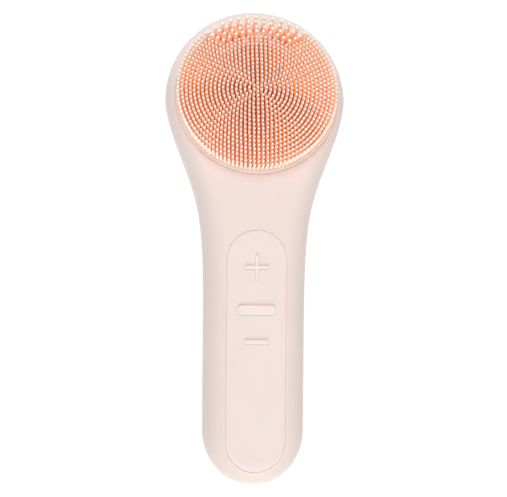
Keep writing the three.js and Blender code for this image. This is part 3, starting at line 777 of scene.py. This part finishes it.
def bristles(name, places, profile, sides, rng, height=BRISTLE_L):
    """One tapered, round-tipped bristle at each place, standing on the dome and leaning a little to the head's top."""
    verts, faces, hgt, tint, painted_outer_light, core = [], [], [], [], [], []
    ang = np.linspace(0, 2 * math.pi, sides, endpoint=False)
    for r, t, edge in places:
        base = np.array([r * math.cos(t), r * math.sin(t), 0.0])
        nrm = np.array([base[0], base[1], FIELD_R ** 2 / (2 * FIELD_SAG)])
        base += (LAY_X, LAY_Y, 0)
        base[2] = float(dome(math.hypot(base[0], base[1])))
        nrm /= np.linalg.norm(nrm)
        lean = rng.normal(0, 0.008, 2)
        nrm = nrm + np.array([lean[0], lean[1] + LEAN, 0])
        nrm /= np.linalg.norm(nrm)
        u = np.cross(nrm, [math.sin(t), -math.cos(t), 0.0])
        u /= np.linalg.norm(u)
        w = np.cross(nrm, u)
        scale = 1 + rng.normal(0, 0.012)
        spin = rng.uniform(0, 1)
        tone = rng.uniform(0, 1)
        rows = []
        for rad, h in profile:
            hh = h if h < 1 else h * (height / BRISTLE_L) * (1 + (scale - 1) * 0.5)
            c = base + nrm * hh
            start = len(verts)
            if rad <= 0:
                verts.append(c)
                rows.append([start])
            else:
                a = ang + spin
                verts.extend(c + rad * (np.cos(a)[:, None] * u + np.sin(a)[:, None] * w))
                rows.append(list(range(start, start + sides)))
            m = len(verts) - start
            hgt.extend([max(0.0, min(1.0, h / BRISTLE_L))] * m)
            tint.extend([tone] * m)
            painted_outer_light.extend([edge] * m)
            core.extend([heart(r)] * m)
        for a, b in zip(rows, rows[1:]):
            for i in range(sides):
                j = (i + 1) % sides
                if len(b) == 1:
                    faces.append((a[i], a[j], b[0]))
                else:
                    faces.append((a[i], a[j], b[j], b[i]))
        faces.append(tuple(reversed(rows[0])))
    v = np.array(verts)
    world = np.column_stack([v[:, 0], PAD_CY + v[:, 1] * math.cos(TILT) + v[:, 2] * math.sin(TILT), PAD_CZ - v[:, 1] * math.sin(TILT) + v[:, 2] * math.cos(TILT)])
    return build(name, world, faces, attrs={"hgt": hgt, "tint": tint, "painted_outer_light": painted_outer_light, "core": core})


def tip_profile(base, low, high, tip, length, cap):
    rows = [(base, -0.35), (base, -0.05), (base * 0.93, 0.12), (low * 1.03, 0.4), (low, 0.9), ((low + high) / 2, 2.6), (high, length - cap * 1.8), (tip, length - cap)]
    for a in (24, 46, 66, 82):
        rows.append((tip * math.cos(math.radians(a)), length - cap + cap * math.sin(math.radians(a))))
    return rows + [(0, length)]


rng = np.random.default_rng(7)
fine_places, big_places = bristle_places()

front = front_cover()
rear = rear_cover()
panel = key_panel()
keys = {k: key_cap(k) for k in KEYS}
pad = pad_base()
half = len(fine_places) // 2
fine = bristles("soft_fine_bristles", fine_places, tip_profile(0.62, 0.50, 0.44, 0.43, BRISTLE_L, 0.30), 8, rng)
big = bristles("soft_thick_bristles", big_places, tip_profile(0.92, 0.72, 0.60, 0.61, BRISTLE_L, 0.48), 16, rng)


# ------------------------------------------------------------------------------------------
# materials
# ------------------------------------------------------------------------------------------
def srgb(*c):
    c = [v / 255 for v in c]
    return tuple(v / 12.92 if v <= 0.04045 else ((v + 0.055) / 1.055) ** 2.4 for v in c) + (1.0,)


class Mat:
    def __init__(self, name):
        self.m = bpy.data.materials.new(name)
        self.m.use_nodes = True
        self.t = self.m.node_tree
        self.t.nodes.clear()
        self.out = self.t.nodes.new("ShaderNodeOutputMaterial")
        self.p = self.t.nodes.new("ShaderNodeBsdfPrincipled")
        self.t.links.new(self.p.outputs["BSDF"], self.out.inputs["Surface"])
        self.pos = self.t.nodes.new("ShaderNodeTexCoord").outputs["Object"]

    def node(self, kind, **props):
        n = self.t.nodes.new(kind)
        for k, v in props.items():
            setattr(n, k, v)
        return n

    def link(self, a, b):
        self.t.links.new(a, b)

    def set(self, **values):
        for k, v in values.items():
            self.p.inputs[k.replace("_", " ")].default_value = v
        return self

    def noise(self, scale, detail=3.0, rough=0.5, stretch=None):
        n = self.node("ShaderNodeTexNoise")
        n.inputs["Scale"].default_value = scale
        n.inputs["Detail"].default_value = detail
        n.inputs["Roughness"].default_value = rough
        src = self.pos
        if stretch:
            mp = self.node("ShaderNodeMapping")
            mp.inputs["Scale"].default_value = stretch
            self.link(src, mp.inputs["Vector"])
            src = mp.outputs["Vector"]
        self.link(src, n.inputs["Vector"])
        return n.outputs["Fac"]

    def ramp(self, fac, stops):
        r = self.node("ShaderNodeValToRGB")
        e = r.color_ramp.elements
        while len(e) < len(stops):
            e.new(0.5)
        for el, (pos, col) in zip(e, stops):
            el.position = pos
            el.color = col
        self.link(fac, r.inputs["Fac"])
        return r.outputs["Color"]

    def range(self, fac, a, b, lo=0.0, hi=1.0):
        r = self.node("ShaderNodeMapRange")
        r.inputs["From Min"].default_value, r.inputs["From Max"].default_value = lo, hi
        r.inputs["To Min"].default_value, r.inputs["To Max"].default_value = a, b
        self.link(fac, r.inputs["Value"])
        return r.outputs["Result"]

    def mix(self, fac, a, b, mode="MIX"):
        n = self.node("ShaderNodeMix", data_type="RGBA", blend_type=mode)
        for sock, val in ((n.inputs[0], fac), (n.inputs[6], a), (n.inputs[7], b)):
            if isinstance(val, (float, int, tuple)):
                sock.default_value = val
            else:
                self.link(val, sock)
        return n.outputs[2]

    def bump(self, height, strength, distance):
        b = self.node("ShaderNodeBump")
        b.inputs["Strength"].default_value = strength
        b.inputs["Distance"].default_value = distance
        self.link(height, b.inputs["Height"])
        self.link(b.outputs["Normal"], self.p.inputs["Normal"])


# edge is the warm painted shade colour of the joint grooves and painted_glow is their painted glow
def silicone(name, light, dark, rough=(0.42, 0.52), sss=0.25, radius=0.0016, grain=0.00002, sheen=0.03, edge=(242, 213, 200), painted_glow=(232, 176, 150)):
    m = Mat(name)
    broad = m.noise(38, 2.0, 0.5)
    fine_n = m.noise(900, 4.0, 0.6)
    tone = m.mix(0.25, broad, fine_n)
    col = m.ramp(tone, [(0.30, dark), (0.72, light)])
    # painted shade and painted glow in the joint grooves: crease_shade mixes in the warm edge colour and an emission of
    # painted_glow, for the coloured shade and light through the silicone there
    groove = m.node("ShaderNodeAttribute", attribute_name="crease_shade").outputs["Fac"]
    col = m.mix(groove, col, srgb(*edge))
    m.link(col, m.p.inputs["Base Color"])
    m.link(m.mix(groove, (0.0, 0.0, 0.0, 1.0), srgb(*painted_glow)), m.p.inputs["Emission Color"])
    m.link(m.range(m.noise(420, 3.0), rough[0], rough[1], 0.3, 0.7), m.p.inputs["Roughness"])
    m.bump(m.noise(2600, 3.0, 0.6), 0.35, grain)
    m.set(Subsurface_Weight=sss, Subsurface_Radius=(1.0, 0.42, 0.26), Subsurface_Scale=radius, Specular_IOR_Level=0.28, IOR=1.41,
          Sheen_Weight=sheen, Sheen_Roughness=0.45, Emission_Strength=0.12)
    return m.m


body_mat = silicone("blush_silicone", srgb(233, 217, 210), srgb(230, 213, 206))
panel_mat = silicone("panel_silicone", srgb(234, 219, 215), srgb(232, 216, 212))
# the key's edge and painted_glow colours are the warm painted shadow and painted glow on the keys' shaded upper sides
key_mat = silicone("key_silicone", srgb(238, 226, 220), srgb(236, 223, 216), sss=0.3, edge=(238, 184, 146), painted_glow=(222, 152, 104))


def pad_material():
    """The moulded pad: body-coloured rim, deep orange where the fine bristles stand close; this orange is painted shade
    and painted glow for light bounced and lost between the bristles, darkest towards the middle.
    """
    m = Mat("pad_silicone")
    tone = m.mix(0.25, m.noise(38, 2.0, 0.5), m.noise(900, 4.0, 0.6))
    rim = m.ramp(tone, [(0.30, srgb(238, 220, 213)), (0.72, srgb(241, 223, 216))])
    groove, deep, core = (m.node("ShaderNodeAttribute", attribute_name=a).outputs["Fac"] for a in ("crease_shade", "deep", "core"))
    # painted shade and painted glow in the seam groove and on the rim, weighted by crease_shade
    rim = m.mix(groove, rim, srgb(242, 213, 200))
    floor_col = m.mix(core, m.ramp(tone, [(0.30, srgb(225, 132, 78)), (0.72, srgb(229, 138, 84))]), srgb(186, 82, 42))
    m.link(m.mix(deep, rim, floor_col), m.p.inputs["Base Color"])
    # painted glow: an orange emission on the floor between the bristles, dimmer towards the middle
    painted_glow = m.mix(core, srgb(220, 132, 80), srgb(96, 44, 20))
    m.link(m.mix(deep, m.mix(groove, (0.0, 0.0, 0.0, 1.0), srgb(240, 188, 164)), painted_glow), m.p.inputs["Emission Color"])
    m.link(m.range(m.noise(420, 3.0), 0.42, 0.52, 0.3, 0.7), m.p.inputs["Roughness"])
    m.bump(m.noise(2600, 3.0, 0.6), 0.35, 0.00002)
    m.set(Subsurface_Weight=0.25, Subsurface_Radius=(1.0, 0.42, 0.26), Subsurface_Scale=0.0016, Specular_IOR_Level=0.28, IOR=1.41,
          Sheen_Weight=0.03, Sheen_Roughness=0.45, Emission_Strength=0.08)
    return m.m


pad_mat = pad_material()


def bristle_material(name):
    m = Mat(name)
    h = m.node("ShaderNodeAttribute", attribute_name="hgt").outputs["Fac"]
    tone = m.node("ShaderNodeAttribute", attribute_name="tint").outputs["Fac"]
    painted_outer_light = m.node("ShaderNodeAttribute", attribute_name="painted_outer_light").outputs["Fac"]
    core = m.node("ShaderNodeAttribute", attribute_name="core").outputs["Fac"]
    # painted shade: hidden_from_light darkens the lower half of the bristles towards the middle of the field, where
    # least light gets down
    low = m.ramp(h, [(0.0, (1, 1, 1, 1)), (0.25, (0.8, 0.8, 0.8, 1)), (0.5, (0, 0, 0, 1))])
    hidden_from_light = m.mix(core, (0.0, 0.0, 0.0, 1.0), low)
    shade = m.mix(hidden_from_light, (1.0, 1.0, 1.0, 1.0), (0.66, 0.44, 0.34, 1.0))
    # painted shade: the height ramp, deep orange at the root to pale at the tip, stands for the shade and orange glow
    # down between bristles of one pale silicone
    col = m.ramp(h, [(0.0, srgb(220, 108, 52)), (0.22, srgb(240, 140, 76)), (0.42, srgb(252, 178, 112)), (0.57, srgb(253, 207, 166)), (0.70, srgb(252, 238, 226)), (0.92, srgb(251, 245, 241))])
    # painted light: painted_outer_light mixes the outer bristles towards a pale lit colour
    col = m.mix(painted_outer_light, m.mix(1.0, col, shade, "MULTIPLY"), srgb(250, 236, 226))
    speck = m.mix(0.08, col, m.ramp(m.noise(1500, 2.0), [(0.3, srgb(236, 170, 130)), (0.7, srgb(250, 240, 232))]))
    col = m.mix(m.range(tone, 0.0, 0.07), speck, srgb(250, 196, 156))
    m.link(col, m.p.inputs["Base Color"])
    m.link(m.range(m.noise(700, 2.0), 0.34, 0.46, 0.3, 0.7), m.p.inputs["Roughness"])
    # painted glow: an orange emission along the stems stands for light scattered through the silicone
    painted_glow = m.ramp(h, [(0.0, srgb(80, 38, 16)), (0.25, srgb(170, 104, 56)), (0.42, srgb(250, 166, 90)), (0.62, srgb(250, 182, 122)), (0.85, srgb(150, 114, 86)), (0.97, srgb(0, 0, 0))])
    m.link(m.mix(painted_outer_light, m.mix(1.0, painted_glow, shade, "MULTIPLY"), srgb(198, 156, 132)), m.p.inputs["Emission Color"])
    m.set(Emission_Strength=0.23)
    m.bump(m.noise(3500, 2.0), 0.2, 0.00001)
    m.set(Subsurface_Weight=0.12, Subsurface_Radius=(1.0, 0.5, 0.28), Subsurface_Scale=0.0010, Specular_IOR_Level=0.4, IOR=1.41)
    return m.m


bristle_mat = bristle_material("bristle_silicone")


def plastic(name, a, b, rough=(0.4, 0.55), scale=60, grain=0.00002):
    m = Mat(name)
    m.link(m.ramp(m.mix(0.4, m.noise(scale), m.noise(scale * 22)), [(0.3, a), (0.7, b)]), m.p.inputs["Base Color"])
    m.link(m.range(m.noise(scale * 7), rough[0], rough[1], 0.3, 0.7), m.p.inputs["Roughness"])
    m.bump(m.noise(3000), 0.3, grain)
    return m.m


def metal(name, a, b, rough=(0.22, 0.4), stretch=(1, 30, 1)):
    m = Mat(name)
    streak = m.noise(500, 4.0, 0.6, stretch)
    m.link(m.ramp(streak, [(0.3, a), (0.7, b)]), m.p.inputs["Base Color"])
    m.link(m.range(streak, rough[0], rough[1], 0.3, 0.7), m.p.inputs["Roughness"])
    m.bump(streak, 0.2, 0.00001)
    m.set(Metallic=1.0)
    return m.m


def circuit(name):
    m = Mat(name)
    brick = m.node("ShaderNodeTexBrick")
    brick.inputs["Scale"].default_value = 260
    brick.inputs["Mortar Size"].default_value = 0.06
    brick.inputs["Color1"].default_value = srgb(40, 112, 70)
    brick.inputs["Color2"].default_value = srgb(36, 100, 64)
    brick.inputs["Mortar"].default_value = srgb(62, 140, 92)
    m.link(m.pos, brick.inputs["Vector"])
    m.link(m.mix(0.25, brick.outputs["Color"], m.ramp(m.noise(300), [(0.3, srgb(30, 92, 58)), (0.7, srgb(50, 128, 80))])), m.p.inputs["Base Color"])
    m.link(m.range(m.noise(500), 0.28, 0.42, 0.3, 0.7), m.p.inputs["Roughness"])
    m.bump(brick.outputs["Fac"], 0.3, 0.00003)
    return m.m


slot_materials = {
    "dark_rubber": plastic("seal_rubber", srgb(206, 190, 184), srgb(214, 198, 192), (0.6, 0.75)),
    "inner_plastic": plastic("moulded_plastic", srgb(228, 224, 218), srgb(238, 235, 230)),
    "black_plastic": plastic("black_plastic", srgb(26, 26, 28), srgb(36, 36, 38)),
    "lamp_lens": plastic("lamp_lens", srgb(244, 240, 230), srgb(252, 250, 244), (0.12, 0.2)),
    "cell_wrap": plastic("cell_film", srgb(52, 108, 168), srgb(66, 124, 186), (0.22, 0.34)),
    "foam": plastic("foam", srgb(76, 78, 80), srgb(92, 94, 96), (0.85, 0.95), 400, 0.0001),
    "lead_red": plastic("lead_red", srgb(168, 40, 36), srgb(186, 52, 46), (0.4, 0.5)),
    "lead_black": plastic("lead_black", srgb(26, 26, 28), srgb(40, 40, 42), (0.4, 0.5)),
    "motor_steel": metal("drawn_steel", srgb(176, 178, 182), srgb(200, 202, 206)),
    "screw_steel": metal("plated_steel", srgb(184, 186, 190), srgb(206, 208, 212), (0.2, 0.34), (1, 1, 12)),
    "brass": metal("sintered_brass", srgb(190, 150, 78), srgb(208, 170, 96), (0.35, 0.5), (6, 6, 6)),
    "contact_metal": metal("gold_contact", srgb(214, 176, 98), srgb(232, 196, 120), (0.16, 0.26), (10, 10, 1)),
    "board_green": circuit("circuit_board"),
    "body_silicone": body_mat,
    "panel_silicone": panel_mat,
    "key_silicone": key_mat,
    "bristle_silicone": bristle_mat,
}
for row in frame["record"]["subparts"]:
    obj = nodes[row["node"]]
    obj.data.materials.clear()
    obj.data.materials.append(slot_materials[row["material_slot"]])
    for poly in obj.data.polygons:
        poly.material_index = 0


def dress(obj, material, body, slot, *replaced):
    obj.data.materials.clear()
    obj.data.materials.append(material)
    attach(obj, body)
    if replaced:
        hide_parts(*replaced)


dress(front, body_mat, BODY, "body_silicone", "front_cover")
dress(rear, body_mat, BODY, "body_silicone", "rear_cover")
dress(panel, panel_mat, BODY, "panel_silicone", "keypad_panel")
for k in KEYS:
    dress(keys[k], key_mat, f"{k}_key_body", "key_silicone", f"{k}_key")
dress(pad, pad_mat, BODY, "bristle_silicone", "brush_pad")
dress(fine, bristle_mat, BODY, "bristle_silicone", "brush_pad")
dress(big, bristle_mat, BODY, "bristle_silicone", "brush_pad")

# ------------------------------------------------------------------------------------------
# floor, light and camera
# ------------------------------------------------------------------------------------------
me = bpy.data.meshes.new("studio_floor")
me.from_pydata([(-2, -2, 0), (2, -2, 0), (2, 2, 0), (-2, 2, 0)], [], [(0, 1, 2, 3)])
floor = link(bpy.data.objects.new("studio_floor", me))
floor.location.z = -0.0002
fm = Mat("floor_paper")
fm.link(fm.ramp(fm.noise(30), [(0.3, srgb(104, 104, 104)), (0.7, srgb(106, 106, 106))]), fm.p.inputs["Base Color"])
fm.set(Roughness=0.9, Specular_IOR_Level=0.1, Emission_Color=(1, 1, 1, 1), Emission_Strength=0.9)
floor.data.materials.append(fm.m)

world = bpy.data.worlds.new("studio")
bpy.context.scene.world = world
world.use_nodes = True
world.node_tree.nodes["Background"].inputs["Color"].default_value = (1.0, 1.0, 1.0, 1)
world.node_tree.nodes["Background"].inputs["Strength"].default_value = 0.42


def area(name, loc, size, power, aim=(0, 0, 0.015), colour=(1, 1, 1)):
    data = bpy.data.lights.new(name, "AREA")
    data.shape = "RECTANGLE"
    data.size, data.size_y = size
    data.energy = power
    data.color = colour
    ob = link(bpy.data.objects.new(name, data))
    ob.location = loc
    ob.rotation_mode = "QUATERNION"
    ob.rotation_quaternion = (Vector(aim) - Vector(loc)).to_track_quat("-Z", "Y")
    return ob


area("top", (-0.06, 0.60, 0.90), (0.6, 0.6), 6.9)
area("low", (0.0, -0.80, 0.35), (0.30, 0.30), 3.9)
area("over", (0.02, 0.05, 1.20), (0.8, 0.8), 0.6)

cam_data = bpy.data.cameras.new("camera")
cam = link(bpy.data.objects.new("camera", cam_data))
cam_data.sensor_width = 36
cam_data.lens = 121.6
YAW, PITCH, ROLL, DIST = math.radians(4.39), math.radians(0.9), math.radians(0.53), 0.601
target = Vector((0.00017, -0.00041, 0.009))
back = Vector((-math.sin(YAW) * math.cos(PITCH), math.sin(PITCH), math.cos(YAW) * math.cos(PITCH)))
right = Vector((0, 1, 0)).cross(back).normalized()
upv = back.cross(right)
# the object leans clockwise in the picture, so the camera turns the other way
r2 = right * math.cos(ROLL) + upv * math.sin(ROLL)
u2 = upv * math.cos(ROLL) - right * math.sin(ROLL)
cam.matrix_world = Matrix(((r2.x, u2.x, back.x, 0), (r2.y, u2.y, back.y, 0), (r2.z, u2.z, back.z, 0), (0, 0, 0, 1)))
cam.location = target + back * DIST
cam_data.clip_start, cam_data.clip_end = 0.01, 10
bpy.context.scene.camera = cam
bpy.context.scene.view_settings.view_transform = "Standard"
bpy.context.scene.view_settings.look = "None"
